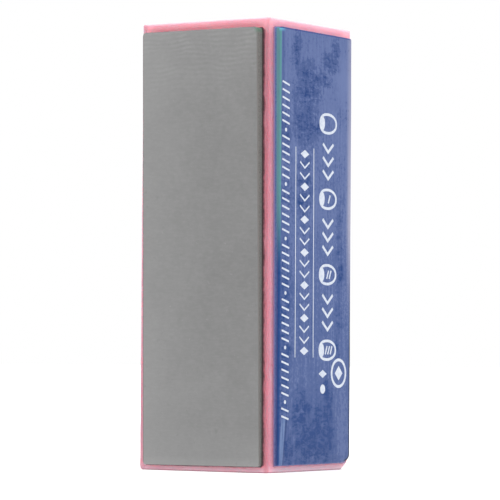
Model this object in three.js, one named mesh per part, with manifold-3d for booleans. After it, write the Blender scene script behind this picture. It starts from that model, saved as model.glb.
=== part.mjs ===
// Mini four-way nail buffer block: a square bar of foam with a laminated pad bonded to each of its
// four long sides. Millimetres, +Z up. The origin is the centre of the end that the block stands on,
// and +Z runs along the block. The grey polishing pad faces -Y and the blue printed pad faces +X.

import * as THREE from 'three';
import { mergeVertices } from 'three/addons/utils/BufferGeometryUtils.js';
import Module from 'manifold-3d';

// Foam core: a square bar with just-broken arrises and one foot corner rubbed round by use.
const CORE_WIDTH = 26;
const CORE_LENGTH = 76.4;
const CORE_ARRIS = 0.4;
const ARRIS_SEGMENTS = 3;
const WEAR_REACH = 2.5; // how far the worn corner runs along each of its three arrises
const WEAR_CENTRE = 3.5; // how far inside the three faces the centre of the wear lies
const WEAR_OVERSHOOT = 1; // how far the wear cutter stands outside the bar
const WEAR_SEGMENTS = 48;

// Pads: flat layers die-cut to one outline and stacked outwards from the core.
const PAD_LENGTH = 73.8;
const PAD_THICKNESS = 1.5;
const PAD_CORNER_RADIUS = 0.5;
const PAD_CORNER_SEGMENTS = 6;
const ADHESIVE_THICKNESS = 0.125;
const SHEET_THICKNESS = 0.25;
const PRINTED_FILM_THICKNESS = 0.125;

const QUARTER_TURN = Math.PI / 2;

// Finishes, each a colour with its roughness.
const PINK_FOAM = { color: 0xe88fa2, roughness: 0.95 };
const GLUE = { color: 0x8a4a50, roughness: 0.6 };
const GREY_FOAM = { color: 0x6f6c6b, roughness: 0.95 };
const GREY_FILM = { color: 0x939392, roughness: 0.6 };
const BLUE_FOAM = { color: 0x3f5c8c, roughness: 0.95 };
const BLUE_GRIT = { color: 0x34497c, roughness: 0.85 };
const BLUE_GLOSS = { color: 0x5b6fa6, roughness: 0.2 };
const WHITE_FOAM = { color: 0xe9e6df, roughness: 0.95 };
const WHITE_GRIT = { color: 0xdedbd2, roughness: 0.9 };
const DARK_FOAM = { color: 0x4a4c50, roughness: 0.95 };
const CHARCOAL_GRIT = { color: 0x2c2e31, roughness: 0.85 };

// Each pad's place on its side of the core, as seen facing that side: shift is how far it sits to
// the right of the middle, and foot is how far its lower edge is above the end of the core.
const PADS = [
  {
    name: 'grey_pad', turn: 0, width: 23.3, shift: 0.15, foot: 1,
    cushion: GREY_FOAM, sheetName: 'polishing_sheet', sheet: GREY_FILM,
  },
  {
    name: 'blue_pad', turn: QUARTER_TURN, width: 22.9, shift: 0, foot: 1.2, wornRadius: 1.8,
    cushion: BLUE_FOAM, sheetName: 'buffing_sheet', sheet: BLUE_GRIT, printedFilm: BLUE_GLOSS,
  },
  {
    name: 'white_pad', turn: 2 * QUARTER_TURN, width: 23, shift: 0.2, foot: 1.2,
    cushion: WHITE_FOAM, sheetName: 'smoothing_sheet', sheet: WHITE_GRIT,
  },
  {
    name: 'charcoal_pad', turn: -QUARTER_TURN, width: 22.4, shift: -0.6, foot: 1.3,
    cushion: DARK_FOAM, sheetName: 'filing_sheet', sheet: CHARCOAL_GRIT,
  },
];

const wasm = await Module();
wasm.setup();

function toManifold(geometry) {
  const bare = geometry.clone();
  bare.deleteAttribute('normal');
  bare.deleteAttribute('uv');
  const merged = mergeVertices(bare);
  return new wasm.Manifold(new wasm.Mesh({
    numProp: 3,
    vertProperties: merged.attributes.position.array,
    triVerts: new Uint32Array(merged.index.array),
  }));
}

function toGeometry(manifold) {
  const mesh = manifold.getMesh();
  const geometry = new THREE.BufferGeometry();
  geometry.setAttribute('position', new THREE.BufferAttribute(mesh.vertProperties, 3));
  geometry.setIndex(new THREE.BufferAttribute(mesh.triVerts, 1));
  geometry.computeVertexNormals();
  return geometry;
}

function makeMesh(name, geometry, finish) {
  const material = new THREE.MeshStandardMaterial({ ...finish, metalness: 0 });
  const mesh = new THREE.Mesh(geometry, material);
  mesh.name = name;
  return mesh;
}

// A rectangle centred on the origin with round corners. The lower right corner has its own radius.
function roundedRectangle(width, height, radius, lowerRightRadius = radius) {
  const right = width / 2;
  const top = height / 2;
  const shape = new THREE.Shape();
  shape.moveTo(-right + radius, -top);
  shape.lineTo(right - lowerRightRadius, -top);
  shape.absarc(right - lowerRightRadius, -top + lowerRightRadius, lowerRightRadius, -QUARTER_TURN, 0);
  shape.lineTo(right, top - radius);
  shape.absarc(right - radius, top - radius, radius, 0, QUARTER_TURN);
  shape.lineTo(-right + radius, top);
  shape.absarc(-right + radius, top - radius, radius, QUARTER_TURN, 2 * QUARTER_TURN);
  shape.lineTo(-right, -top + radius);
  shape.absarc(-right + radius, -top + radius, radius, 2 * QUARTER_TURN, 3 * QUARTER_TURN);
  return shape;
}

// The bar, standing on its end with every arris rounded.
function barGeometry() {
  const inset = CORE_WIDTH - 2 * CORE_ARRIS;
  const bar = new THREE.ExtrudeGeometry(roundedRectangle(inset, inset, CORE_ARRIS / 2), {
    depth: CORE_LENGTH - 2 * CORE_ARRIS,
    curveSegments: ARRIS_SEGMENTS,
    bevelThickness: CORE_ARRIS,
    bevelSize: CORE_ARRIS,
    bevelSegments: ARRIS_SEGMENTS,
  });
  bar.translate(0, 0, CORE_ARRIS);
  return bar;
}

// What wear has taken off the foot corner at +X +Y: a cube over that corner, less a ball that cuts
// each of the three arrises at the wear's reach.
function wearManifold() {
  const side = WEAR_CENTRE + WEAR_OVERSHOOT;
  const cube = new THREE.BoxGeometry(side, side, side);
  const across = CORE_WIDTH / 2 - WEAR_CENTRE;
  cube.translate(across + side / 2, across + side / 2, WEAR_CENTRE - side / 2);
  const ballRadius = Math.hypot(WEAR_CENTRE, WEAR_CENTRE, WEAR_CENTRE - WEAR_REACH);
  const ball = new THREE.SphereGeometry(ballRadius, WEAR_SEGMENTS, WEAR_SEGMENTS / 2);
  ball.translate(across, across, WEAR_CENTRE);
  return toManifold(cube).subtract(toManifold(ball));
}

function makeCore() {
  const geometry = toGeometry(toManifold(barGeometry()).subtract(wearManifold()));
  return makeMesh('foam_core', geometry, PINK_FOAM);
}

// The layers of a pad from the core outwards. The cushion takes up what the films leave.
function padLayers(pad) {
  const printedFilm = pad.printedFilm
    ? [{ name: 'printed_film', thickness: PRINTED_FILM_THICKNESS, finish: pad.printedFilm }]
    : [];
  const films = [{ name: pad.sheetName, thickness: SHEET_THICKNESS, finish: pad.sheet }, ...printedFilm];
  const filmThickness = films.reduce((sum, film) => sum + film.thickness, 0);
  return [
    { name: 'adhesive', thickness: ADHESIVE_THICKNESS, finish: GLUE },
    {
      name: 'cushion',
      thickness: PAD_THICKNESS - ADHESIVE_THICKNESS - filmThickness,
      finish: pad.cushion,
    },
    ...films,
  ];
}

// A pad is stacked up local +Z from the core's -Y side, and then turned about the block's length to
// the side that it belongs on.
function makePad(pad) {
  const face = new THREE.Group();
  face.rotation.x = QUARTER_TURN;
  face.position.set(pad.shift, -CORE_WIDTH / 2, pad.foot + PAD_LENGTH / 2);
  const outline = roundedRectangle(pad.width, PAD_LENGTH, PAD_CORNER_RADIUS, pad.wornRadius);
  let height = 0;
  for (const layer of padLayers(pad)) {
    const geometry = new THREE.ExtrudeGeometry(outline, {
      depth: layer.thickness,
      curveSegments: PAD_CORNER_SEGMENTS,
      bevelEnabled: false,
    });
    const mesh = makeMesh(`${pad.name}_${layer.name}`, geometry, layer.finish);
    mesh.position.z = height;
    face.add(mesh);
    height += layer.thickness;
  }
  const side = new THREE.Group();
  side.rotation.z = pad.turn;
  side.add(face);
  return side;
}

const bufferBlock = new THREE.Group();
bufferBlock.add(makeCore());
for (const pad of PADS) {
  bufferBlock.add(makePad(pad));
}

export default bufferBlock;
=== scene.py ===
# The looks of the nail buffer block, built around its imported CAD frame. The frame is in metres: +Z
# runs along the block, the grey pad faces -Y and the blue printed pad faces +X.
import math
from dataclasses import dataclass

import bpy
import numpy as np
from mathutils import Matrix, Vector, noise


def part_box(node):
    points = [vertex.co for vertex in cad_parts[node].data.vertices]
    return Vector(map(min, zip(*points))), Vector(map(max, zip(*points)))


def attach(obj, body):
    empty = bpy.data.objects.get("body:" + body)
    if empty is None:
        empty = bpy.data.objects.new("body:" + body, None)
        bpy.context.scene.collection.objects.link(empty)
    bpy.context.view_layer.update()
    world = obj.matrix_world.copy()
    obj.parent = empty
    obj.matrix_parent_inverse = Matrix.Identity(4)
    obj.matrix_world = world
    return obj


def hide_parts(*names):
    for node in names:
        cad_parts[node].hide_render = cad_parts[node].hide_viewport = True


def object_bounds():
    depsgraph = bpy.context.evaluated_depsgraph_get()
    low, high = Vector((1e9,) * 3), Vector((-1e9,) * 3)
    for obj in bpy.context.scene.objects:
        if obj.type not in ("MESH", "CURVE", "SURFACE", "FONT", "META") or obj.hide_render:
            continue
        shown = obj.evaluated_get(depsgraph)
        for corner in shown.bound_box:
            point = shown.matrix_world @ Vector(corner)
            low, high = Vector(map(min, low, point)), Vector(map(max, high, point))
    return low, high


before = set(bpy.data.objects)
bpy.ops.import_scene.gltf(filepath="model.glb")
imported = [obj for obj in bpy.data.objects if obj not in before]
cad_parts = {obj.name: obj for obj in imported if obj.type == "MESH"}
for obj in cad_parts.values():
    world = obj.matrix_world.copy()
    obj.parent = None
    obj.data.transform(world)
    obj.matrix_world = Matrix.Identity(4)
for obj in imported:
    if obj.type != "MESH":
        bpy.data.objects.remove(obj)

MM = 0.001
BODY = "root"
UP = Vector((0, 0, 1))
CAD_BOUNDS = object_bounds()
CENTRE = (CAD_BOUNDS[0] + CAD_BOUNDS[1]) / 2

# -------- shader helpers


def srgb(red, green, blue):
    """A screen colour, each part from 0 to 255, as the linear colour that a shader takes."""
    parts = [c / 255 for c in (red, green, blue)]
    linear = [c / 12.92 if c <= 0.04045 else ((c + 0.055) / 1.055) ** 2.4 for c in parts]
    return (*linear, 1)


def feed(tree, socket, value):
    """Gives a socket a fixed value or the output of another node."""
    if isinstance(value, bpy.types.NodeSocket):
        tree.links.new(value, socket)
    else:
        socket.default_value = value


def add_node(tree, kind, inputs=None, **settings):
    """A new node. The settings are its own properties."""
    node = tree.nodes.new(kind)
    for key, value in settings.items():
        setattr(node, key, value)
    for key, value in (inputs or {}).items():
        feed(tree, node.inputs[key], value)
    return node


class Finish:
    """A material as it is built up. Its fields are numbers that vary over the surface, and its coats
    are screen colours that go on one over another."""

    def __init__(self, name, roughness, **inputs):
        self.material = bpy.data.materials.new(name)
        self.material.use_nodes = True
        self.tree = self.material.node_tree
        self.shader = self.tree.nodes["Principled BSDF"]
        self.tone = None
        self.shade("Roughness", roughness)
        for key, value in inputs.items():
            self.shade(key.replace("_", " "), value)

    def shade(self, key, value):
        feed(self.tree, self.shader.inputs[key], value)

    def node(self, kind, inputs=None, **settings):
        return add_node(self.tree, kind, inputs, **settings)

    def vector_math(self, operation, inputs, result="Vector"):
        return self.node("ShaderNodeVectorMath", inputs, operation=operation).outputs[result]

    def coords(self, stretch=(1, 1, 1), shift=(0, 0, 0)):
        """Coordinates in the block's frame in metres, stretched along each axis."""
        place = self.node("ShaderNodeTexCoord").outputs["Object"]
        inputs = {"Vector": place, "Scale": stretch, "Location": shift}
        return self.node("ShaderNodeMapping", inputs).outputs["Vector"]

    def warped_coords(self, size, reach):
        """Coordinates pushed about by noise, so that what is drawn with them gets torn edges."""
        coords = self.coords()
        inputs = {"Vector": coords, "Scale": 1 / size, "Detail": 5, "Roughness": 0.65}
        push = self.node("ShaderNodeTexNoise", inputs).outputs["Color"]
        push = self.vector_math("SUBTRACT", {0: push, 1: (0.5, 0.5, 0.5)})
        push = self.vector_math("SCALE", {0: push, "Scale": reach})
        return self.vector_math("ADD", {0: coords, 1: push})

    def noise(self, size, detail=2, rough=0.5, distort=0, stretch=(1, 1, 1), shift=(0, 0, 0)):
        """Smooth noise from 0 to 1 whose blotches are about size metres across."""
        inputs = {
            "Vector": self.coords(stretch, shift), "Scale": 1 / size, "Detail": detail,
            "Roughness": rough, "Distortion": distort,
        }
        return self.node("ShaderNodeTexNoise", inputs).outputs["Fac"]

    def cells(self, size):
        """Distance to the nearest of scattered points that lie about size metres apart."""
        inputs = {"Vector": self.coords(), "Scale": 1 / size}
        return self.node("ShaderNodeTexVoronoi", inputs).outputs["Distance"]

    def waves(self, coords, scale, distortion, detail, detail_scale=1):
        """Bands up the block, which wander as far as the distortion says."""
        inputs = {
            "Vector": coords, "Scale": scale, "Distortion": distortion, "Detail": detail,
            "Detail Scale": detail_scale,
        }
        return self.node("ShaderNodeTexWave", inputs, bands_direction="Z").outputs["Fac"]

    def stored(self, name):
        """A number stored at each vertex of the mesh."""
        return self.node("ShaderNodeAttribute", attribute_name=name).outputs["Fac"]

    def axis(self, name):
        """One of the coordinates in the block's frame, in metres."""
        return self.node("ShaderNodeSeparateXYZ", {"Vector": self.coords()}).outputs[name]

    def rescale(self, source, low, high, to_low=0.0, to_high=1.0, smooth=False):
        """A field or stored number, from low to high, spread over to_low to to_high and held there
        beyond."""
        if isinstance(source, str):
            source = self.stored(source)
        inputs = {
            "Value": source, "From Min": low, "From Max": high, "To Min": to_low, "To Max": to_high,
        }
        kind = "SMOOTHSTEP" if smooth else "LINEAR"
        return self.node("ShaderNodeMapRange", inputs, interpolation_type=kind).outputs["Result"]

    def combine(self, operation, result, *others):
        """Arithmetic on fields and numbers, one after another."""
        for other in others:
            node = self.node("ShaderNodeMath", {0: result, 1: other}, operation=operation)
            result = node.outputs["Value"]
        return result

    def product(self, *fields):
        return self.combine("MULTIPLY", *fields)

    def total(self, *fields):
        return self.combine("ADD", *fields)

    def blend(self, share, first, second):
        """Colour that goes from first to second as share goes from 0 to 1."""
        first, second = (srgb(*c) if isinstance(c, tuple) else c for c in (first, second))
        return self.node("ShaderNodeMix", {0: share, 6: first, 7: second}, data_type="RGBA").outputs[2]

    def coat(self, colour, *shares):
        """Lays a colour over what is there, as thickly as the product of the shares."""
        self.tone = self.blend(self.product(*shares), self.tone, colour)

    def done(self, relief, depth):
        """The material, in its coats, with relief in which 0 to 1 stands for depth metres."""
        self.shade("Base Color", self.tone)
        bump = self.node("ShaderNodeBump", {"Height": relief, "Distance": depth, "Strength": 1.0})
        self.shade("Normal", bump.outputs["Normal"])
        return self.material


# -------- mesh helpers


def add_object(name, data):
    """A new object in the scene that shows what is in data."""
    thing = bpy.data.objects.new(name, data)
    bpy.context.scene.collection.objects.link(thing)
    return thing


def new_object(name, vertices, faces, smooth_angle=None):
    mesh = bpy.data.meshes.new(name)
    mesh.from_pydata([tuple(v) for v in vertices], [], faces)
    mesh.update()
    if smooth_angle is not None:
        mesh.shade_smooth()
        mesh.set_sharp_from_angle(angle=math.radians(smooth_angle))
    return add_object(name, mesh)


def store_field(piece, name, values):
    """Keeps a number at each vertex, for the material to read."""
    field = piece.data.attributes.new(name, "FLOAT", "POINT")
    field.data.foreach_set("value", values)


def finish_piece(piece, material, slot, *nodes):
    """Rides on the block, stands for its CAD nodes and takes the given material; the slot is not used.
    """
    piece.data.materials.append(material)
    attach(piece, BODY)
    if nodes:
        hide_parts(*nodes)


def wander(x, y, z, size, octaves=2):
    """Smooth noise from about -1 to 1 whose swells are about size metres across."""
    return noise.fractal(Vector((x, y, z)) / size, 1.0, 2.0, octaves)


def grid_lines(low, high, low_insets, high_insets, pitch):
    """Positions from low to high: at each inset from either end, and about pitch apart between."""
    inner_low, inner_high = low + low_insets[-1], high - high_insets[-1]
    count = max(1, round((inner_high - inner_low) / pitch))
    inner = np.linspace(inner_low, inner_high, count + 1)
    return np.concatenate([
        low + np.array(low_insets[:-1]), inner, high - np.array(high_insets[:-1])[::-1],
    ])


# -------- foam core

CORE_LOW, CORE_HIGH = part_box("foam_core")
CORE_HALF = CORE_HIGH.x
ARRIS_RADIUS = 0.24 * MM
ARRIS_WANDER = 0.1 * MM
ARRIS_WANDER_SIZE = 5 * MM
ARRIS_ANGLES = (45, 30, 15, 0)
CORE_PITCH = 0.3 * MM
CORE_LONG_PITCH = 0.5 * MM
CORE_SWELL = 0.03 * MM
CORE_SWELL_SIZE = 6 * MM
CORE_GRAIN = 0.016 * MM
CORE_GRAIN_SIZE = 0.8 * MM
CORE_STRETCH = 0.1 * MM  # how much longer than its nominal length the bar was cut
CORE_TOP = CORE_HIGH.z + CORE_STRETCH
# Foot corners rubbed round: the corner's signs along X and Y, how far the wear runs along each of
# the three arrises that meet there, and how round it is, from 0 for a flat cut to 1 for a ball.
WORN_CORNERS = (
    ((1, 1), (1.7 * MM, 3.3 * MM, 1.9 * MM), 0.3),
    ((-1, -1), (0.9 * MM, 0.8 * MM, 0.8 * MM), 0.5),
    ((-1, 1), (0.8 * MM, 0.7 * MM, 0.6 * MM), 0.5),
)


def wear_corner(point, signs, reach, roundness):
    """Brings a point near a foot corner in to the bulging cut that the wear has made."""
    depth = 2 - roundness  # the bulge's centre, in reaches inside each face
    radius = math.sqrt(2 * depth**2 + (depth - 1) ** 2)
    centre = Vector((
        signs[0] * (CORE_HALF - depth * reach[0]),
        signs[1] * (CORE_HALF - depth * reach[1]),
        CORE_LOW.z + depth * reach[2],
    ))
    offset = Vector([(p - c) / r for p, c, r in zip(point, centre, reach)])
    if offset.x * signs[0] > 0 and offset.y * signs[1] > 0 and offset.z < 0 and offset.length > radius:
        offset *= radius / offset.length
        return Vector([c + o * r for c, o, r in zip(centre, offset, reach)])
    return point


def shape_core_point(point):
    """Rounds a point of the square bar at its arrises, wears it at its foot and lets it undulate."""
    x, y, z = point
    radius = ARRIS_RADIUS + ARRIS_WANDER * wander(x, y, z, ARRIS_WANDER_SIZE)
    half = CORE_HALF - radius
    inner = Vector((
        min(max(x, -half), half),
        min(max(y, -half), half),
        min(max(z, CORE_LOW.z + radius), CORE_TOP - radius),
    ))
    outward = Vector(point) - inner
    normal = outward.normalized()
    shaped = inner + normal * radius
    for corner in WORN_CORNERS:
        shaped = wear_corner(shaped, *corner)
    if normal.z < -0.5:
        return shaped  # the foot stays flat
    swell = CORE_SWELL * wander(x, y, z, CORE_SWELL_SIZE)
    grain = CORE_GRAIN * wander(x, y, z, CORE_GRAIN_SIZE)
    return shaped + normal * (swell + grain)


def make_core(material):
    """The bar as a fine lattice over all six sides, so that its surface can be shaped everywhere."""
    steps = [ARRIS_RADIUS * (1 - math.tan(math.radians(a))) for a in ARRIS_ANGLES]
    across = grid_lines(-CORE_HALF, CORE_HALF, steps, steps, CORE_PITCH)
    along = grid_lines(CORE_LOW.z, CORE_TOP, steps, steps, CORE_LONG_PITCH)
    lines = (across, across, along)
    last = [len(line) - 1 for line in lines]
    index, vertices = {}, []

    def vertex(place):
        if place not in index:
            index[place] = len(vertices)
            vertices.append(shape_core_point([line[k] for line, k in zip(lines, place)]))
        return index[place]

    faces = []
    for axis in range(3):
        second, third = (axis + 1) % 3, (axis + 2) % 3
        for side in (0, last[axis]):
            for a in range(last[second]):
                for b in range(last[third]):
                    corners = []
                    for da, db in ((0, 0), (1, 0), (1, 1), (0, 1)):
                        place = [0, 0, 0]
                        place[axis], place[second], place[third] = side, a + da, b + db
                        corners.append(vertex(tuple(place)))
                    faces.append(corners if side else corners[::-1])
    core = new_object("foam_core_body", vertices, faces, smooth_angle=180)
    finish_piece(core, material, "core_foam", "foam_core")


# -------- pads

GRID_PITCH = 0.7 * MM
ROUNDING_STEPS = 6
RIM_STEPS = (0.6 * MM, 0.9 * MM, 1.4 * MM, 2 * MM)
CROWN_REACH = 4 * MM
ROLL_REACH = 0.8 * MM
WAVE = 0.03 * MM
WAVE_SIZE = 11 * MM
RIPPLE = 0.004 * MM
RIPPLE_SIZE = 2.6 * MM
CUSHION_WALL_STEPS = 5
CUSHION_RAGGED = 0.03 * MM
RAGGED_SIZE = 0.8 * MM
PAD_SMOOTH_ANGLE = 35
PAD_CORNER = (0.5 * MM, 0.5 * MM)  # radii across and up


@dataclass
class Pad:
    """One laminated pad, in its own axes: u to the right and v up as seen facing it, w outwards."""

    name: str
    turn: float
    films: list
    head_thickness: float
    foot_thickness: float
    edge_radius: float
    worn_corner: tuple = PAD_CORNER
    lean: float = 0.0
    tips: tuple = (0.0, 0.0)
    flare: float = 0.0
    crown: float = 0.0
    roll: float = 0.0
    stretched: float = 0.0

    def __post_init__(self):
        angle = math.radians(self.turn)
        self.right = Vector((math.cos(angle), math.sin(angle), 0))
        self.out = Vector((math.sin(angle), -math.cos(angle), 0))
        cushion = self.name + "_cushion"
        self.left_edge, self.right_edge = self.extent(cushion, self.right)
        self.foot, self.top = self.extent(cushion, UP)
        self.top += self.stretched
        self.cushion_floor = self.extent(cushion, self.out)[0]
        self.film_levels = [self.extent(f"{self.name}_{film}", self.out) for film in self.films]
        self.slant = math.tan(math.radians(self.lean))
        self.foot_tip, self.top_tip = (math.tan(math.radians(tip)) for tip in self.tips)

    @staticmethod
    def extent(node, axis):
        """Lowest and highest place of a CAD node along an axis."""
        low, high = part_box(node)
        ends = (low.dot(axis), high.dot(axis))
        return min(ends), max(ends)

    def world(self, u, v, w):
        """The block's frame from the pad's, with the crookedness of a hand-cut pad: its sides lean to
        the left, its ends rise to the right and its left edge flares out towards the foot."""
        middle_u = (self.left_edge + self.right_edge) / 2
        middle_v = (self.foot + self.top) / 2
        share_up = (v - self.foot) / (self.top - self.foot)
        share_left = (self.right_edge - u) / (self.right_edge - self.left_edge)
        tip = self.foot_tip + (self.top_tip - self.foot_tip) * share_up
        crooked_u = u - (v - middle_v) * self.slant - self.flare * share_left * (1 - share_up)
        crooked_v = v + (u - middle_u) * tip
        return self.right * crooked_u + UP * crooked_v + self.out * w

    def rim_depth(self, u, v):
        """How far inside the nearest edge a point lies."""
        return max(0.0, min(u - self.left_edge, self.right_edge - u, v - self.foot, self.top - v))

    def surface(self, u, v, depth, level):
        """Height of a layer boundary. Level 0 is the cushion's top, and each film adds one. Near the
        outline, which lies depth away, all the layers turn down together."""
        share = (v - self.foot) / (self.top - self.foot)
        thickness = self.foot_thickness + (self.head_thickness - self.foot_thickness) * share
        films_above = sum(high - low for low, high in self.film_levels[level:])
        drop = 0.0
        if depth < self.edge_radius:
            drop = self.edge_radius - math.sqrt(self.edge_radius**2 - (self.edge_radius - depth) ** 2)
        drop += self.crown * max(0.0, 1 - depth / CROWN_REACH) ** 2
        drop += self.roll * math.exp((u - self.right_edge) / ROLL_REACH)
        swell = WAVE * wander(u, v, self.out.x + 2 * self.out.y, WAVE_SIZE)
        swell += RIPPLE * wander(u, v, self.out.y, RIPPLE_SIZE, octaves=3)
        return CORE_HALF + thickness - films_above - drop + swell

    def outline_point(self, u, v):
        """A grid point moved so that the grid's corners are round, and its depth from the outline."""
        from_side = min(u - self.left_edge, self.right_edge - u)
        from_end = min(v - self.foot, self.top - v)
        at_right = u - self.left_edge > self.right_edge - u
        at_foot = v - self.foot < self.top - v
        radius_u, radius_v = self.worn_corner if at_right and at_foot else PAD_CORNER
        x, y = 1 - from_side / radius_u, 1 - from_end / radius_v
        if x <= 0 or y <= 0:
            return u, v, min(from_side, from_end)
        scale = max(x, y) / math.hypot(x, y)
        shift_u, shift_v = radius_u * x * (1 - scale), radius_v * y * (1 - scale)
        u += -shift_u if at_right else shift_u
        v += shift_v if at_foot else -shift_v
        local_radius = (radius_u * x * x + radius_v * y * y) / (x * x + y * y)
        return u, v, (1 - max(x, y)) * local_radius


def make_slab(pad, name, floor, ceiling, wall_steps=1, ragged=0.0):
    """A closed layer between two heights, each a function of u, v and the depth from the outline.
    The wall can be ragged, as cut foam is."""
    turns = [math.pi / 2 * step / ROUNDING_STEPS for step in range(ROUNDING_STEPS + 1)]
    insets = [pad.edge_radius * (1 - math.cos(a)) for a in turns] + list(RIM_STEPS)
    columns = grid_lines(pad.left_edge, pad.right_edge, insets, insets, GRID_PITCH)
    rows = grid_lines(pad.foot, pad.top, insets, insets, GRID_PITCH)
    count_u, count_v = len(columns), len(rows)
    points = [pad.outline_point(u, v) for v in rows for u in columns]
    tops = [pad.world(u, v, ceiling(u, v, depth)) for u, v, depth in points]
    bottoms = [pad.world(u, v, floor(u, v, depth)) for u, v, depth in points]
    vertices = tops + bottoms
    base = len(tops)
    faces = []
    for j in range(count_v - 1):
        for i in range(count_u - 1):
            a = j * count_u + i
            quad = (a, a + 1, a + 1 + count_u, a + count_u)
            faces.append(quad)
            faces.append(tuple(base + k for k in reversed(quad)))
    loop = list(range(count_u))
    loop += [j * count_u + count_u - 1 for j in range(1, count_v)]
    loop += [(count_v - 1) * count_u + i for i in range(count_u - 2, -1, -1)]
    loop += [j * count_u for j in range(count_v - 2, 0, -1)]
    sources = list(range(base)) * 2
    rings = [loop]
    middle = pad.world((pad.left_edge + pad.right_edge) / 2, (pad.foot + pad.top) / 2, CORE_HALF)
    for step in range(1, wall_steps):
        ring = []
        for k in loop:
            point = tops[k].lerp(bottoms[k], step / wall_steps)
            inward = (middle - point).normalized()
            ring.append(len(vertices))
            sources.append(k)
            vertices.append(point + inward * ragged * wander(*point, RAGGED_SIZE))
        rings.append(ring)
    rings.append([base + k for k in loop])
    for upper, lower in zip(rings, rings[1:]):
        for k in range(len(loop)):
            after = (k + 1) % len(loop)
            faces.append((upper[k], lower[k], lower[after], upper[after]))
    slab = new_object(name, vertices, faces, PAD_SMOOTH_ANGLE)
    u, v, depth = np.array([points[k] for k in sources]).T
    fields = {
        "rim": depth, "from_left": u - pad.left_edge, "from_right": pad.right_edge - u,
        "from_foot": v - pad.foot, "from_top": pad.top - v,
    }
    for field, distances in fields.items():
        store_field(slab, field, distances / MM)
    return slab


def make_pad(pad, cushion_material, film_materials, glue_material, slots):
    """A pad's three or four layers, from the core outwards."""
    make_glue(pad, glue_material)
    cushion = make_slab(
        pad, pad.name + "_cushion_body",
        lambda u, v, depth: pad.cushion_floor,
        lambda u, v, depth: pad.surface(u, v, depth, 0),
        CUSHION_WALL_STEPS, CUSHION_RAGGED,
    )
    finish_piece(cushion, cushion_material, slots[0], pad.name + "_cushion")
    for level, (film, material) in enumerate(zip(pad.films, film_materials)):
        layer = make_slab(
            pad, f"{pad.name}_{film}_body",
            lambda u, v, depth, under=level: pad.surface(u, v, depth, under),
            lambda u, v, depth, over=level + 1: pad.surface(u, v, depth, over),
        )
        finish_piece(layer, material, slots[level + 1], f"{pad.name}_{film}")


# How far the glue was squeezed out below, to the right of, above and to the left of each pad. The line
# also carries the pad's painted shadow, so it reaches furthest to the right, where the shadow falls.
GLUE_AND_SHADOW_REACHES = (0.15 * MM, 0.48 * MM, 0.06 * MM, 0.08 * MM)
GLUE_WANDER = 0.4
GLUE_WANDER_SIZE = 2.5 * MM
GLUE_SIDES = 420
GLUE_LIP = 0.045 * MM
GLUE_RINGS = ((1, 0), (1, 1), (0.5, 1.4))  # share of the reach, and height in lips


def make_glue(pad, material):
    """The adhesive film, with the thin wavering line of it that was squeezed out round the pad; the
    line also carries the pad's painted shadow.
    """
    low, high = pad.extent(pad.name + "_adhesive", pad.out)
    levels = [(share, low + lips * GLUE_LIP) for share, lips in GLUE_RINGS] + [(0, high)]
    vertices, soak = [], []
    for share, height in levels:
        for step in range(GLUE_SIDES):
            u, v, out_u, out_v, side_reach = walk_outline(pad, step / GLUE_SIDES)
            reach = side_reach * (1 + GLUE_WANDER * wander(u, v, pad.out.x, GLUE_WANDER_SIZE)) * share
            vertices.append(pad.world(u + out_u * reach, v + out_v * reach, height))
            soak.append(share)
    faces = [tuple(reversed(range(GLUE_SIDES)))]
    for ring in range(len(levels) - 1):
        a, b = ring * GLUE_SIDES, (ring + 1) * GLUE_SIDES
        for k in range(GLUE_SIDES):
            after = (k + 1) % GLUE_SIDES
            faces.append((a + k, a + after, b + after, b + k))
    faces.append(tuple(range(len(vertices) - GLUE_SIDES, len(vertices))))
    glue_line = new_object(pad.name + "_glue_line", vertices, faces, PAD_SMOOTH_ANGLE)
    store_field(glue_line, "soak", soak)
    finish_piece(glue_line, material, "glue", pad.name + "_adhesive")


def walk_outline(pad, share):
    """A point of the pad's outline a share of the way round it, the way out from there, and how far
    the glue line reaches, with the painted shadow that it carries."""
    below, beyond, above, before = GLUE_AND_SHADOW_REACHES
    width, length = pad.right_edge - pad.left_edge, pad.top - pad.foot
    distance = 2 * (width + length) * share
    if distance < width:
        return pad.left_edge + distance, pad.foot, 0, -1, below
    distance -= width
    if distance < length:
        return pad.right_edge, pad.foot + distance, 1, 0, beyond
    distance -= length
    if distance < width:
        return pad.right_edge - distance, pad.top, 0, 1, above
    return pad.left_edge, pad.top - (distance - width), -1, 0, before


# -------- print

INK = 0.02 * MM
INK_ROOT = 0.03 * MM
INK_PITCH = 0.8 * MM
PRINT_TILT = math.radians(0.15)
PRINT_MIDDLE_U = -3.88 * MM
PRINT_MIDDLE_V = 37.2 * MM
RULE_APART = 5.75 * MM
RULE_LENGTH = 35.6 * MM
RULE_WIDTH = 0.19 * MM
STEP_COUNT = 4
STEP_PITCH = 12.95 * MM
STEP_FIRST = 22.3 * MM
STEP_COLUMN = 7.5 * MM
NAIL_HALF_LENGTH = 2.6 * MM
NAIL_HALF_WIDTH = 1.6 * MM
NAIL_STROKE = 0.46 * MM
LUNULA_REACH = 1.5 * MM
LUNULA_HALF_WIDTH = 0.75 * NAIL_HALF_WIDTH
SHINE_APART = 0.8 * MM
SHINE_RIGHT = 0.4 * MM  # how far right of the nail's middle the shine marks lie
SHINE_HALF_SLANT = 0.3 * MM
SHINE_HALF_HEIGHT = 0.7 * MM
SHINE_WIDTH = 0.34 * MM
ARROW_APART = 2.3 * MM
ARROW_HALF_WIDTH = 1.7 * MM
ARROW_HALF_HEIGHT = 0.7 * MM
ARROW_STROKE = 0.5 * MM
BAND_COUNT = 19
BAND_TOP = 16.7 * MM
BAND_HALF_WIDTH = 1.5 * MM
BAND_STROKE = 0.29 * MM
BAND_ARROW_HALF_HEIGHT = 0.5 * MM
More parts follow.
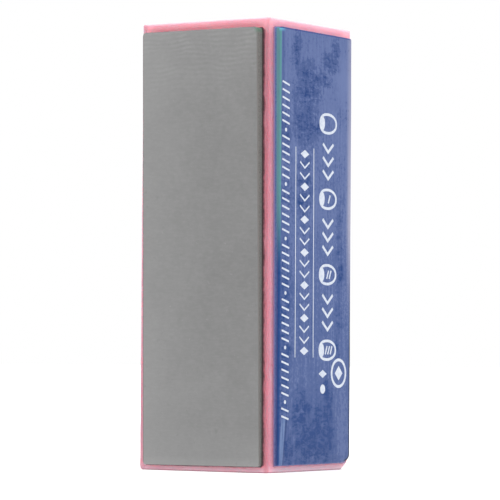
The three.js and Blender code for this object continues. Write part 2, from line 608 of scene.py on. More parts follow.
BAND_LOZENGE_HALF_WIDTH = 0.9 * BAND_HALF_WIDTH
BAND_LOZENGE_HALF_HEIGHT = 0.72 * MM
HATCH_COUNT = 44
HATCH_GROUP = 7
HATCH_COLUMN = -5.95 * MM
HATCH_TOP = 28.3 * MM
HATCH_LENGTH = 56.2 * MM
HATCH_HALF_WIDTH = 1.1 * MM
HATCH_HALF_SLANT = 0.28 * MM
HATCH_STROKE = 0.32 * MM
HATCH_DOT_RADIUS = 0.32 * MM
# The emblem and the marks beside it, each with its middle, its half width and its half height.
EMBLEM_RING = (11.2 * MM, -20.5 * MM, 2.3 * MM, 2.3 * MM)
EMBLEM_LOZENGE = (11.2 * MM, -20.5 * MM, 1.25 * MM, 1.25 * MM)
EMBLEM_STROKE = 0.5 * MM
SMALL_LOZENGE = (6.0 * MM, -20.6 * MM, 1.3 * MM, 0.7 * MM)
SMALL_DOT = (6.0 * MM, -23.2 * MM, 0.8 * MM, 0.8 * MM)


class Print:
    """White marks on a pad's film, as thin raised ink that follows the film. Its axes are s to the
    right and t up, from the print's middle, and it sits a little crooked on the pad."""

    def __init__(self, pad):
        self.pad = pad
        self.vertices, self.faces = [], []

    def add_pair(self, s, t):
        """A vertex on top of the ink and one below it, inside the film."""
        u = PRINT_MIDDLE_U + s * math.cos(PRINT_TILT) - t * math.sin(PRINT_TILT)
        v = PRINT_MIDDLE_V + s * math.sin(PRINT_TILT) + t * math.cos(PRINT_TILT)
        height = self.pad.surface(u, v, self.pad.rim_depth(u, v), len(self.pad.films))
        self.vertices.append(self.pad.world(u, v, height + INK))
        self.vertices.append(self.pad.world(u, v, height - INK_ROOT))
        return len(self.vertices) - 2

    def stroke(self, points, width, closed=False):
        """A line of constant width through the points, mitred at its bends."""
        count = len(points)
        sides = []
        for k in range(count):
            before = points[(k - 1) % count if closed else max(k - 1, 0)]
            after = points[(k + 1) % count if closed else min(k + 1, count - 1)]
            here = points[k]
            came = Vector((here[0] - before[0], here[1] - before[1]))
            goes = Vector((after[0] - here[0], after[1] - here[1]))
            came = came.normalized() if came.length > 0 else goes.normalized()
            goes = goes.normalized() if goes.length > 0 else came
            along = (came + goes).normalized()
            mitre = width / 2 / max(0.4, along.dot(came))
            offset = Vector((-along.y, along.x)) * mitre
            left = self.add_pair(here[0] + offset.x, here[1] + offset.y)
            right = self.add_pair(here[0] - offset.x, here[1] - offset.y)
            sides.append((left, right))
        for k in range(count if closed else count - 1):
            (la, ra), (lb, rb) = sides[k], sides[(k + 1) % count]
            self.faces += [
                (ra, rb, lb, la), (la + 1, lb + 1, rb + 1, ra + 1),
                (la, lb, lb + 1, la + 1), (rb, ra, ra + 1, rb + 1),
            ]
        if not closed:
            (la, ra), (lb, rb) = sides[0], sides[-1]
            self.faces += [(ra, la, la + 1, ra + 1), (lb, rb, rb + 1, lb + 1)]

    def patch(self, outline):
        """A filled shape, given anticlockwise."""
        count = len(outline)
        rim = [self.add_pair(s, t) for s, t in outline]
        centre_s = sum(s for s, t in outline) / count
        centre_t = sum(t for s, t in outline) / count
        middle = self.add_pair(centre_s, centre_t)
        for k in range(count):
            a, b = rim[k], rim[(k + 1) % count]
            self.faces += [(middle, a, b), (middle + 1, b + 1, a + 1), (a, a + 1, b + 1, b)]

    def line(self, start, end, width):
        """A straight stroke, in short lengths so that it follows the film."""
        count = max(1, math.ceil(math.dist(start, end) / INK_PITCH))
        self.stroke(np.linspace(start, end, count + 1), width)


def ellipse(s, t, half_s, half_t, count=28):
    angles = [2 * math.pi * k / count for k in range(count)]
    return [(s + half_s * math.cos(a), t + half_t * math.sin(a)) for a in angles]


NAIL_SIDES = 44
NAIL_TIP_POWER = 1.15
NAIL_ROOT_POWER = 0.75
NAIL_SIDE_POWER = 0.85


def nail_outline(s, t, half_length, half_width):
    """A fingernail pointing to the right: broad at its root and tapering to its tip."""
    outline = []
    for k in range(NAIL_SIDES):
        angle = 2 * math.pi * k / NAIL_SIDES
        cosine, sine = math.cos(angle), math.sin(angle)
        power = NAIL_TIP_POWER if cosine > 0 else NAIL_ROOT_POWER
        along = half_length * math.copysign(abs(cosine) ** power, cosine)
        across = half_width * math.copysign(abs(sine) ** NAIL_SIDE_POWER, sine)
        outline.append((s + along, t + across))
    return outline


def arrow(s, t, half_width, half_height):
    """An open arrowhead pointing down the block."""
    return [(s - half_width, t + half_height), (s, t - half_height), (s + half_width, t + half_height)]


def lozenge(s, t, half_width, half_height):
    return [(s + half_width, t), (s, t + half_height), (s - half_width, t), (s, t - half_height)]


def print_steps(ink):
    """The four steps of buffing: a nail with one more shine mark each time, and arrows between."""
    root = STEP_COLUMN - NAIL_HALF_LENGTH
    for step in range(STEP_COUNT):
        t = STEP_FIRST - step * STEP_PITCH
        nail = nail_outline(STEP_COLUMN, t, NAIL_HALF_LENGTH, NAIL_HALF_WIDTH)
        ink.stroke(nail, NAIL_STROKE, closed=True)
        ink.patch(ellipse(root + LUNULA_REACH / 2, t, LUNULA_REACH / 2, LUNULA_HALF_WIDTH, 20))
        for mark in range(step):
            s = STEP_COLUMN + (mark - (step - 1) / 2) * SHINE_APART + SHINE_RIGHT
            start = (s - SHINE_HALF_SLANT, t - SHINE_HALF_HEIGHT)
            ink.line(start, (s + SHINE_HALF_SLANT, t + SHINE_HALF_HEIGHT), SHINE_WIDTH)
        if step < STEP_COUNT - 1:
            for k in (-1, 0, 1):
                middle = t - STEP_PITCH / 2 + k * ARROW_APART
                head = arrow(STEP_COLUMN, middle, ARROW_HALF_WIDTH, ARROW_HALF_HEIGHT)
                ink.stroke(head, ARROW_STROKE)


def print_band(ink):
    """A row of arrowheads and lozenges between the two rules."""
    for k in range(BAND_COUNT):
        t = BAND_TOP * (1 - 2 * k / (BAND_COUNT - 1))
        if k % 3 == 0:
            ink.patch(lozenge(0, t, BAND_LOZENGE_HALF_WIDTH, BAND_LOZENGE_HALF_HEIGHT))
        else:
            ink.stroke(arrow(0, t, BAND_HALF_WIDTH, BAND_ARROW_HALF_HEIGHT), BAND_STROKE)


def print_hatch(ink):
    """A narrow border of slanted ticks in groups of six, with a dot between groups."""
    for k in range(HATCH_COUNT):
        t = HATCH_TOP - k * HATCH_LENGTH / (HATCH_COUNT - 1)
        if k % HATCH_GROUP == HATCH_GROUP - 1:
            ink.patch(ellipse(HATCH_COLUMN, t, HATCH_DOT_RADIUS, HATCH_DOT_RADIUS, 14))
        else:
            start = (HATCH_COLUMN - HATCH_HALF_WIDTH, t + HATCH_HALF_SLANT)
            ink.line(start, (HATCH_COLUMN + HATCH_HALF_WIDTH, t - HATCH_HALF_SLANT), HATCH_STROKE)


def print_emblem(ink):
    """A plain ring round a lozenge, with a dot and a small lozenge beside it."""
    ink.stroke(ellipse(*EMBLEM_RING, 48), EMBLEM_STROKE, closed=True)
    ink.patch(lozenge(*EMBLEM_LOZENGE))
    ink.patch(lozenge(*SMALL_LOZENGE))
    ink.patch(ellipse(*SMALL_DOT))


def make_print(pad, material):
    ink = Print(pad)
    for side in (-1, 1):
        s = side * RULE_APART / 2
        ink.line((s, -RULE_LENGTH / 2), (s, RULE_LENGTH / 2), RULE_WIDTH)
    print_steps(ink)
    print_band(ink)
    print_hatch(ink)
    print_emblem(ink)
    piece = new_object(pad.name + "_print", ink.vertices, ink.faces)
    finish_piece(piece, material, "white_ink")


# -------- materials


def saw_top(foam, across, depth, height):
    """The sawn top of the bar: open pores and the fine lines that the saw left along X."""
    reach = foam.combine("MAXIMUM", *(foam.combine("ABSOLUTE", field, 0) for field in (across, depth)))
    top = foam.rescale(height, CORE_TOP - 0.25 * MM, CORE_TOP - 0.1 * MM)
    inside = foam.rescale(reach, CORE_HALF - 1.1 * MM, CORE_HALF - 0.3 * MM, 0.9, 0)
    lines = foam.noise(0.45 * MM, detail=3, stretch=(0.06, 1, 1))
    pores = foam.cells(0.7 * MM)
    sawn = foam.blend(foam.rescale(lines, 0.35, 0.65), (214, 128, 148), (232, 150, 168))
    sawn = foam.blend(foam.rescale(pores, 0.08, 0.28, 0.9, 0), sawn, (168, 84, 106))
    foam.coat(sawn, top, inside)


def pink_foam():
    """Fine closed-cell foam. Light gets into its top, which also has a painted glow and a painted
    highlight on its rim. Its foot is painted lighter as if lit by the floor, with a painted contact
    shadow along its bottom edge. Its near arris has painted shade, and its -X side is painted greyer,
    as shade."""
    foam = Finish(
        "pink_foam", roughness=0.85, Specular_IOR_Level=0.12, Subsurface_Weight=0.8,
        Subsurface_Radius=(1.25, 0.4, 0.45), Subsurface_Scale=3.0 * MM,
    )
    patches = foam.noise(5 * MM, detail=3)
    grain = foam.noise(0.35 * MM, detail=4, rough=0.75)
    cells = foam.cells(0.45 * MM)
    height, across, depth = (foam.axis(name) for name in "ZXY")
    foam.tone = foam.blend(foam.rescale(patches, 0.3, 0.7), (228, 136, 154), (238, 150, 166))
    foam.coat((202, 106, 126), foam.rescale(cells, 0.05, 0.3, 0.6, 0))
    foam.coat((250, 176, 190), foam.rescale(grain, 0.35, 0.7, 0, 0.55))
    # Painted light: a glow painted near the top and, above it, a painted highlight along the top rim.
    painted_top_glow = foam.rescale(height, CORE_HIGH.z - 3.4 * MM, CORE_HIGH.z - 1.4 * MM, 0, 0.9, smooth=True)
    foam.coat((255, 176, 190), painted_top_glow)
    rim = foam.rescale(height, CORE_HIGH.z - 1.2 * MM, CORE_HIGH.z - 0.3 * MM, 0, 0.4, smooth=True)
    foam.coat((255, 204, 214), rim)
    # Painted light: the foot is painted paler, as if lit by the white floor, less so on the +X side.
    foot = foam.rescale(height, 0.2 * MM, 1.6 * MM, 1, 0, smooth=True)
    on_right = foam.rescale(across, CORE_HALF - 0.3 * MM, CORE_HALF - 0.1 * MM, 1, 0.76)
    beyond_arris = foam.rescale(depth, -CORE_HALF + 1 * MM, -CORE_HALF + 4 * MM)
    foam.coat(foam.blend(beyond_arris, (248, 194, 208), (244, 210, 220)), foot, on_right)
    arris = 2 * CORE_HALF  # across less depth, at the arris between the grey and the blue pad
    from_arris = foam.combine("SUBTRACT", across, depth)
    # Painted shade at the near arris, between the grey and the blue pad.
    painted_arris_shade = foam.rescale(from_arris, arris - 0.9 * MM, arris - 0.1 * MM, 0, 0.5, smooth=True)
    low_down = foam.rescale(height, 8 * MM, 30 * MM, 1.2, 1)
    below_top = foam.rescale(height, CORE_TOP - 5 * MM, CORE_TOP - 1.5 * MM, 1, 0.5, smooth=True)
    foam.coat((178, 112, 122), painted_arris_shade, low_down, below_top)
    # Painted shade: the -X side painted greyer and duller.
    painted_far_side_shade = foam.rescale(across, -CORE_HALF + 1.5 * MM, -CORE_HALF + 0.6 * MM, 0, 0.8, smooth=True)
    foam.coat((196, 158, 172), painted_far_side_shade)
    # Painted contact shadow along the bottom edge.
    foam.coat((120, 76, 88), foam.rescale(height, 0.06 * MM, 0.26 * MM, 0.75, 0, smooth=True))
    saw_top(foam, across, depth, height)
    return foam.done(foam.total(foam.rescale(cells, 0.0, 0.4), foam.product(grain, 1.2)), 0.05 * MM)


def cut_foam(name, dark, light, dye_and_highlight=None):
    """A cushion's cut foam: open cells, darker in their hollows. A further coat may colour part of it:
    dye on the grey pad, a painted highlight on the blue one.
    """
    foam = Finish(name, roughness=0.9)
    cells = foam.cells(0.3 * MM)
    grain = foam.noise(0.8 * MM, detail=4, rough=0.65)
    foam.tone = foam.blend(foam.rescale(cells, 0.1, 0.6), dark, light)
    foam.coat(light, foam.rescale(grain, 0.35, 0.7, 0, 0.5))
    if dye_and_highlight:
        dye_and_highlight(foam)
    return foam.done(foam.rescale(cells, 0, 0.6), 0.04 * MM)


def dye_corner(finish):
    """A touch of the blue pad's dye on the grey pad's top right corner."""
    beside = finish.rescale("from_right", 0.1, 0.6, 0.5, 0)
    finish.coat((60, 128, 98), beside, finish.rescale("from_top", 0.4, 1.1, 1, 0))


WAVE_TURN = math.pi / 10  # waves of scale 1 repeat at this distance
RIPPLES_APART = 0.8 * MM
# Where painted light makes the grey sheet lighter towards its edges: the edge, how near to it and how
# far from it the painted light is thickest and gives out, and how thick it is.
PAINTED_EDGE_LIGHT = (
    ("from_left", 0.2, 14.0, 0.22), ("from_top", 0.2, 22.0, 0.1), ("from_top", 0.2, 1.6, 0.07),
    ("from_foot", 0.2, 30.0, 0.11), ("from_foot", 0.2, 7.0, 0.2), ("from_foot", 0.2, 1.6, 0.3),
)


def grey_film():
    """Satin polishing sheet: fine lines across it, painted lighter towards its left edge and ends as
    painted light, rippled at its top, and darker where its cut edge shows, less so near the foot,
    where floor light is painted in."""
    film = Finish("grey_film", roughness=0.5)
    clouds = film.noise(9 * MM, detail=5, rough=0.6, distort=0.6)
    lines = film.noise(0.35 * MM, detail=3, stretch=(0.3, 0.3, 1))
    mottle = film.noise(0.9 * MM, detail=3, rough=0.7, shift=(8, 3, 5))
    film.tone = film.blend(film.rescale(clouds, 0.3, 0.7), (119, 119, 119), (130, 130, 130))
    film.coat((154, 154, 153), film.rescale(lines, 0.4, 0.7, 0, 0.14))
    film.coat((96, 96, 96), film.rescale(mottle, 0.38, 0.62, 0, 0.13))
    # Painted light: lighter towards the left edge and the ends.
    for field, near, far, thickness in PAINTED_EDGE_LIGHT:
        film.coat((168, 168, 168), film.rescale(field, near, far, thickness, 0))
    ripples = film.waves(film.coords(), WAVE_TURN / RIPPLES_APART, 11, detail=3, detail_scale=0.3)
    gathered = film.rescale(film.noise(4 * MM, detail=3, shift=(2, 4, 6)), 0.4, 0.6, 0.25, 1)
    fading = film.rescale("from_top", 2.0, 13.0, 0.17, 0, smooth=True)
    film.coat((176, 176, 176), ripples, gathered, fading)
    dents = film.noise(1.3 * MM, detail=6, rough=0.7, shift=(5, 2, 1))
    film.coat((112, 112, 112), film.rescale(dents, 0.61, 0.71, 0, 0.42))
    flecks = film.noise(0.7 * MM, detail=4, rough=0.7, shift=(1, 7, 3))
    film.coat((180, 180, 180), film.rescale(flecks, 0.65, 0.75, 0, 0.3))
    # The dark cut edge fades at the foot, where floor light is painted in.
    clear_of_painted_floor_light = film.rescale("from_foot", 0.1, 0.7, 0.2, 1)
    film.coat((112, 112, 110), film.rescale("rim", 0.02, 0.09, 1, 0), clear_of_painted_floor_light)
    film.coat((106, 82, 88), film.rescale("from_left", 0.06, 0.24, 0.75, 0))
    dye_corner(film)
    film.shade("Roughness", film.rescale(clouds, 0.3, 0.7, 0.45, 0.6))
    rings = film.waves(film.warped_coords(9 * MM, 6 * MM), 1 / (9 * MM), 3, detail=2)
    return film.done(film.total(lines, film.product(rings, 1.5)), 0.006 * MM)


# Places where the painted hazy reflection gives way to the film's dark blue: the middle across the
# face from the core's left arris and up from the foot, the half width and height, and how dark.
DARK_PATCHES = (
    (9.8, 65.0, 5.2, 5.0, 1.0),
    (11.2, 65.4, 2.6, 3.4, 1.2),
    (6.3, 71.5, 1.5, 4.2, 0.9),
    (16.6, 69.8, 4.0, 2.0, 0.95),
    (14.3, 66.8, 3.0, 1.8, 0.95),
    (18.5, 72.3, 1.9, 2.4, 0.9),
    (9.3, 59.5, 4.8, 5.5, 0.8),
    (13.4, 58.4, 1.5, 1.8, 1.0),
    (9.2, 49.0, 3.0, 8.0, 0.8),
    (3.2, 52.0, 1.8, 14.0, 0.6),
    (3.0, 22.0, 2.4, 22.0, 0.7),
    (20.5, 33.0, 1.3, 16.0, 0.65),
    (15.2, 6.6, 4.4, 5.4, 1.15),
    (17.0, 12.0, 1.8, 4.0, 0.9),
    (11.0, 4.4, 5.2, 4.0, 1.1),
    (8.4, 9.5, 3.0, 6.5, 0.85),
    (4.8, 3.6, 1.4, 3.0, 1.0),
)
# Places where the painted reflection is stronger and the film looks pale, listed in the same way.
PALE_PATCHES = (
    (22.2, 7.0, 1.7, 9.0, 1.0),
    (21.2, 66.0, 2.0, 5.5, 1.0),
    (16.6, 73.6, 2.2, 1.2, 0.6),
)
SPOT_TEAR_SIZE = 3 * MM
SPOT_TEAR_REACH = 4.4 * MM
TEAL_HIGHLIGHT = (96, 150, 152)
TEAL_HIGHLIGHT_FLOOR = CORE_HALF + 0.55 * MM  # the painted highlight starts this far out on the pad's wall
VIOLET = (168, 146, 190)
FOLD_LEAN = 0.125  # how far the fold moves right for each millimetre up


def spots(film, places):
    """1 in the middle of any of the listed places of the face, times its strength, and 0 outside."""
    torn = film.warped_coords(SPOT_TEAR_SIZE, SPOT_TEAR_REACH)
    shares = []
    for across, up, half_width, half_height, strength in places:
        scale = (0, 1 / (half_width * MM), 1 / (half_height * MM))
        shift = (0, -(across * MM - CORE_HALF) * scale[1], -up * MM * scale[2])
        inputs = {"Vector": torn, "Scale": scale, "Location": shift}
        place = film.node("ShaderNodeMapping", inputs).outputs["Vector"]
        length = film.vector_math("LENGTH", {0: place}, "Value")
        shares.append(film.rescale(length, 0.3, 1.35, strength, 0, smooth=True))
    return film.combine("MAXIMUM", *shares)


def left_wall_tint_and_highlight(finish):
    """What shows on the blue pad's left wall: pale violet next to the core and, in the upper part, a
    teal painted highlight on the outer layers and round the edge."""
    beside = finish.rescale("from_left", 0.12, 0.26, 1, 0, smooth=True)
    across, height = finish.axis("X"), finish.axis("Z")
    next_to_core = finish.rescale(across, CORE_HALF + 0.2 * MM, CORE_HALF + 0.34 * MM, 1, 0)
    finish.coat(VIOLET, next_to_core, finish.rescale(height, 8 * MM, 66 * MM, 0.42, 0.86), beside)
    outer = finish.rescale(across, TEAL_HIGHLIGHT_FLOOR, TEAL_HIGHLIGHT_FLOOR + 0.12 * MM)
    upper = finish.rescale(height, 33 * MM, 48 * MM, 0, 0.9, smooth=True)
    # Painted highlight in teal, strongest in the upper part, where the light falls from above.
    finish.coat(TEAL_HIGHLIGHT, outer, upper, beside)


def fold_highlight_and_crease_shade(film, height, streaks):
    """A painted highlight along a fold that leans out to the left edge at the foot, and painted shade
    in the crease along its right.
    """
    leaning = film.product(height, FOLD_LEAN / MM)
    beside = film.combine("SUBTRACT", film.stored("from_left"), leaning)
    low = film.product(
        film.rescale(height, 8 * MM, 10.5 * MM, 1, 0, smooth=True),
        film.rescale(height, 1.5 * MM, 5 * MM, 0.55, 1, smooth=True),
    )
    # Painted highlight along the fold.
    film.coat(
        (124, 148, 190), low, film.rescale(beside, -0.62, -0.35), film.rescale(beside, 0.85, 0.65),
        film.rescale(streaks, 0.35, 0.65, 0.35, 0.8),
    )
    # Painted shade in the crease beside the fold.
    film.coat(
        (20, 50, 104), low, film.rescale(beside, 0.75, 0.9), film.rescale(beside, 1.4, 1.1),
        film.rescale(streaks, 0.3, 0.55, 0.2, 0.9),
    )


def crumple_highlights(film):
    """The film's sharp little folds: from 0 up to a painted highlight line wherever two facets of it
    meet.
    """
    inputs = {"Vector": film.warped_coords(2 * MM, 5 * MM), "Scale": (1, 1, 0.6)}
    squeezed = film.node("ShaderNodeMapping", inputs).outputs["Vector"]
    inputs = {"Vector": squeezed, "Scale": 1 / (2.2 * MM)}
    facets = film.node("ShaderNodeTexVoronoi", inputs, feature="DISTANCE_TO_EDGE")
    return film.rescale(facets.outputs["Distance"], 0.0, 0.2, 0.22, -0.02)


def blue_film():
    """Glossy printed film over a rough sheet: a painted hazy reflection, stronger higher up, which
    gives way to dark blue in patches.
    """
    film = Finish("blue_film", roughness=0.25, Specular_IOR_Level=0.14)
    height = film.axis("Z")
    broad = film.noise(8 * MM, detail=3, rough=0.5)
    patchy = film.noise(2.4 * MM, detail=7, rough=0.68, distort=0.9, stretch=(1, 0.75, 1.2))
    wrinkles = film.noise(0.9 * MM, detail=4, rough=0.6, distort=1.2, stretch=(1, 0.45, 1.3))
    mottle = film.noise(0.6 * MM, detail=5, rough=0.75, shift=(3, 1, 2))
    streaks = film.noise(0.5 * MM, detail=4, stretch=(1, 1, 0.06))
    torn = film.total(spots(film, DARK_PATCHES), film.rescale(patchy, 0.25, 0.75, -0.5, 0.5))
    dark_patch = film.rescale(torn, 0.1, 0.9)
    # Painted reflection: a hazy sheen, stronger higher up and in the pale patches, giving way to dark
    # blue in the dark patches and wrinkles, with painted highlights on crumples.
    painted_reflection_haze = film.total(
        film.rescale(height, 8 * MM, 62 * MM, 0.54, 0.84),
        film.rescale(broad, 0.35, 0.65, -0.08, 0.08),
        film.rescale(mottle, 0.3, 0.7, -0.2, 0.2),
        film.rescale(streaks, 0.3, 0.7, -0.14, 0.14),
        film.product(dark_patch, -0.57),
        film.product(spots(film, PALE_PATCHES), 0.22),
        film.product(dark_patch, film.rescale(wrinkles, 0.35, 0.65, -0.3, 0.3)),
        film.product(dark_patch, crumple_highlights(film)),
    )
    dark = film.blend(film.rescale(height, 25 * MM, 58 * MM), (4, 56, 120), (9, 53, 115))
    film.tone = film.blend(film.rescale(painted_reflection_haze, 0, 1), dark, (96, 112, 158))
    film.coat(
        (168, 167, 186), film.rescale("from_right", 0.5, 2.1, 0.95, 0, smooth=True),
        film.rescale(height, 24 * MM, 46 * MM, smooth=True),
        film.rescale(height, 42 * MM, 66 * MM, 1, 0.45),
    )
    fold_highlight_and_crease_shade(film, height, streaks)
    film.coat((30, 68, 130), film.rescale("from_left", 0.05, 0.24, 0.85, 0, smooth=True))
    film.coat(
        (6, 20, 50), film.rescale("rim", 0.45, 0.75, 1, 0), film.rescale("from_right", 1.6, 2.4, 1, 0),
        film.rescale(height, 22 * MM, 34 * MM, 0.95, 0),
    )
    film.coat(
        (30, 60, 118), film.rescale(height, 50 * MM, 62 * MM),
        film.rescale("from_left", 0.3, 0.42), film.rescale("from_left", 1.1, 0.7, 0, 0.5),
    )
    left_wall_tint_and_highlight(film)
    film.coat((26, 44, 116), film.rescale("from_top", 0.2, 0.38, 0.9, 0))
    # Painted highlight: a cyan glint on the top left corner.
    film.coat(
        (120, 196, 232), film.rescale("from_left", 0.5, 1.5, 0.6, 0),
        film.rescale("from_top", 0.2, 0.35), film.rescale("from_top", 0.85, 0.4),
    )
    film.shade("Roughness", film.rescale(painted_reflection_haze, 0, 1, 0.14, 0.34))
    return film.done(film.total(streaks, patchy), 0.012 * MM)


DUST = (206, 194, 186)


def grit_sheet(name, dark, light, grain, dye_and_highlight=None):
    """Abrasive grit glued on paper: a field of tiny hard grains. A further coat, the painted highlight
    of the blue pad's left wall, may colour part of it.
    """
    grit = Finish(name, roughness=0.85)
    grains = grit.cells(grain)
    clumps = grit.noise(4 * grain, detail=3, rough=0.6)
    wear = grit.noise(12 * MM, detail=4)
    dust = grit.noise(1.3 * MM, detail=6, rough=0.8, shift=(3, 3, 3))
    grit.tone = grit.blend(grit.rescale(grains, 0.1, 0.6), light, dark)
    grit.coat(light, grit.rescale(clumps, 0.4, 0.7, 0, 0.4))
    grit.coat(dark, grit.rescale(wear, 0.4, 0.7, 0, 0.15))
    grit.coat(DUST, grit.rescale(dust, 0.45, 0.75, 0, 0.15))
    grit.coat(light, grit.rescale("rim", 0.1, 0.9, 0.45, 0, smooth=True))
    if dye_and_highlight:
        dye_and_highlight(grit)
    return grit.done(grit.total(grit.rescale(grains, 0.6, 0), clumps), 0.5 * grain)


def glue(name, dark, light):
    """Old contact glue: dark against the pad and fading into the foam, its darkness partly painted
    shadow of the pad.
    """
    line = Finish(name, roughness=0.6)
    blotches = line.noise(0.8 * MM, detail=3)
    edge = line.total(line.stored("soak"), line.rescale(blotches, 0.3, 0.7, -0.2, 0.2))
    line.tone = line.blend(line.rescale(edge, 0.42, 1.15), dark, light)
    return line.done(blotches, 0.02 * MM)


def white_ink():
    """Screen-printed ink, thin enough in places for the blue to tint it."""
    ink = Finish("white_ink", roughness=0.4)
    thin = ink.noise(0.5 * MM, detail=4, rough=0.7)
    ink.tone = ink.blend(ink.rescale(thin, 0.42, 0.76, 0, 0.6), (212, 218, 228), (150, 167, 204))
    return ink.done(thin, 0.006 * MM)


# -------- camera, lights and floor

CAMERA_AZIMUTH = math.radians(33.14)
CAMERA_PITCH = math.radians(1.88)  # looking slightly up
CAMERA_ROLL = math.radians(0.40)
CAMERA_DISTANCE = 540.8 * MM
CAMERA_LENS_MM = 224.8
CAMERA_SENSOR_MM = 36
AIM_RIGHT = 0.71 * MM  # the point looked at, from the block's centre
AIM_DOWN = 0.28 * MM
AMBIENT_STRENGTH = 0.3
BACKDROP_STRENGTH = 1.0
SKYLIGHT_STRENGTH = 3.7
SKYLIGHT_SPREAD = math.radians(70)
FLOOR_RADIUS = 4.0
FLOOR_SEGMENTS = 96
FLOOR_SHADE = srgb(205, 205, 205)
FLOOR_GLOW = 0.55


def make_camera():
    azimuth_cos, azimuth_sin = math.cos(CAMERA_AZIMUTH), math.sin(CAMERA_AZIMUTH)
    pitch_cos, pitch_sin = math.cos(CAMERA_PITCH), math.sin(CAMERA_PITCH)
    forward = Vector((-azimuth_sin * pitch_cos, azimuth_cos * pitch_cos, pitch_sin))
    level_right = Vector((azimuth_cos, azimuth_sin, 0))
    level_up = level_right.cross(forward)
    roll_cos, roll_sin = math.cos(CAMERA_ROLL), math.sin(CAMERA_ROLL)
    right = level_right * roll_cos + level_up * roll_sin
    up = level_up * roll_cos - level_right * roll_sin
    data = bpy.data.cameras.new("camera")
    data.sensor_width = CAMERA_SENSOR_MM
    data.lens = CAMERA_LENS_MM
    data.clip_start = 10 * MM
    data.clip_end = 20
    camera = add_object("camera", data)
    axes = Matrix((right, up, -forward)).transposed().to_4x4()
    aim = CENTRE + right * AIM_RIGHT - up * AIM_DOWN
    camera.matrix_world = Matrix.Translation(aim - forward * CAMERA_DISTANCE) @ axes
    bpy.context.scene.camera = camera


def make_light(name, azimuth, elevation, distance, size, power):
    """A square soft light, aimed at the block's centre. Azimuth 0 is in front of the grey pad and 90
    is in front of the blue one."""
    data = bpy.data.lights.new(name, "AREA")
    data.shape = "SQUARE"
    data.size = size
    data.energy = power
    light = add_object(name, data)
    turn, lift = math.radians(azimuth), math.radians(elevation)
    back = Vector((math.sin(turn) * math.cos(lift), -math.cos(turn) * math.cos(lift), math.sin(lift)))
    light.location = CENTRE + back * distance
    light.rotation_euler = back.to_track_quat("Z", "Y").to_euler()
    light.visible_camera = False


def make_skylight():
    """Broad soft light from straight above, as even far out on the floor as at the block."""
    data = bpy.data.lights.new("skylight", "SUN")
    data.energy = SKYLIGHT_STRENGTH
    data.angle = SKYLIGHT_SPREAD
    add_object("skylight", data)


def make_world():
    """White all round, as seen and as reflected, but a dimmer light on matt surfaces."""
    world = bpy.data.worlds.new("studio")
    bpy.context.scene.world = world
    world.use_nodes = True
    tree = world.node_tree
    path = add_node(tree, "ShaderNodeLightPath").outputs["Is Diffuse Ray"]
    inputs = {"Value": path, "To Min": BACKDROP_STRENGTH, "To Max": AMBIENT_STRENGTH}
    strength = add_node(tree, "ShaderNodeMapRange", inputs).outputs["Result"]
    background = tree.nodes["Background"]
    feed(tree, background.inputs["Color"], (1, 1, 1, 1))
    feed(tree, background.inputs["Strength"], strength)


def make_floor():
    """A plain disc that glows a little, as a lit table does, so that shadows on it stay faint."""
    angles = np.linspace(0, 2 * math.pi, FLOOR_SEGMENTS, endpoint=False)
    rim = [(FLOOR_RADIUS * math.cos(a), FLOOR_RADIUS * math.sin(a), 0) for a in angles]
    floor = new_object("floor", rim, [tuple(range(FLOOR_SEGMENTS))])
    finish = Finish(
        "studio_floor", roughness=0.9, Base_Color=FLOOR_SHADE, Specular_IOR_Level=0,
        Emission_Color=(1, 1, 1, 1), Emission_Strength=FLOOR_GLOW,
    )
    floor.data.materials.append(finish.material)


# -------- the scene

bpy.context.scene.view_settings.view_transform = "Standard"
make_camera()
make_world()
make_floor()
make_skylight()
make_light("front_left", -35, 15, 0.9, 0.6, 0.6)
make_light("right", 105, 15, 0.9, 0.6, 1.5)

make_core(pink_foam())

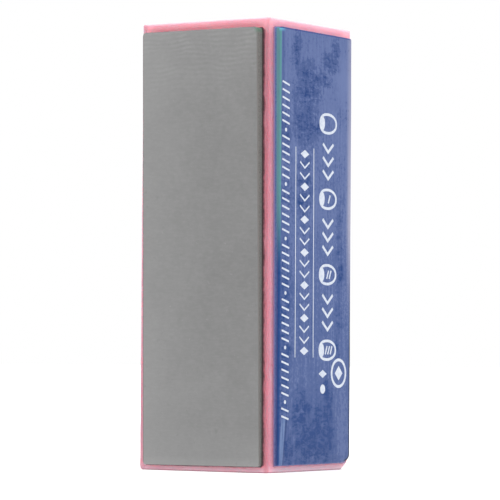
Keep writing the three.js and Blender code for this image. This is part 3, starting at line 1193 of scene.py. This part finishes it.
# The same glue twice: darkened with the pad's painted shadow for the grey and plain pads, and painted
# lit and tinted blue for the blue pad.
glue_with_painted_shadow = glue("glue_with_painted_shadow", (70, 46, 50), (200, 118, 134))
blue_glue_painted_lit = glue("blue_glue_painted_lit", (140, 112, 152), (206, 138, 160))
grey_pad = Pad(
    "grey_pad", 0, ["polishing_sheet"],
    head_thickness=1.95 * MM, foot_thickness=1.0 * MM, edge_radius=0.1 * MM, lean=0.33,
    tips=(0.35, -0.15), flare=0.38 * MM, crown=0.06 * MM, stretched=0.03 * MM,
)
grey_foam = cut_foam("grey_foam", (86, 87, 84), (113, 114, 111), dye_and_highlight=dye_corner)
make_pad(grey_pad, grey_foam, [grey_film()], glue_with_painted_shadow, ["grey_foam", "grey_film"])

blue_pad = Pad(
    "blue_pad", 90, ["buffing_sheet", "printed_film"],
    head_thickness=1.62 * MM, foot_thickness=1.22 * MM, edge_radius=0.33 * MM,
    worn_corner=(3.2 * MM, 1.4 * MM), lean=0.58, tips=(0.0, -0.3), crown=0.05 * MM,
    roll=0.03 * MM, stretched=-0.06 * MM,
)
blue_foam = cut_foam("blue_foam", (58, 84, 142), (90, 116, 170), dye_and_highlight=left_wall_tint_and_highlight)
blue_grit = grit_sheet("blue_grit", (34, 56, 118), (62, 86, 150), 0.15 * MM, dye_and_highlight=left_wall_tint_and_highlight)
blue_slots = ["blue_foam", "blue_grit", "blue_film"]
make_pad(blue_pad, blue_foam, [blue_grit, blue_film()], blue_glue_painted_lit, blue_slots)
make_print(blue_pad, white_ink())

# The two plain pads: the side that each is on, its sheet, how round its edge is, the dark and light
# colours of its foam and of its grit, and the size of its grains.
for name, turn, sheet, edge_radius, foam_colours, grit_colours, grain in (
    ("white", 180, "smoothing_sheet", 0.15 * MM, ((214, 210, 200), (238, 235, 228)),
     ((196, 192, 182), (232, 229, 221)), 0.16 * MM),
    ("charcoal", -90, "filing_sheet", 0.12 * MM, ((52, 54, 58), (82, 84, 88)),
     ((26, 27, 30), (96, 98, 102)), 0.22 * MM),
):
    plain_pad = Pad(
        name + "_pad", turn, [sheet],
        head_thickness=1.5 * MM, foot_thickness=1.5 * MM, edge_radius=edge_radius,
    )
    slots = [name + "_foam", name + "_grit"]
    foam, grit = cut_foam(slots[0], *foam_colours), grit_sheet(slots[1], *grit_colours, grain)
    make_pad(plain_pad, foam, [grit], glue_with_painted_shadow, slots)
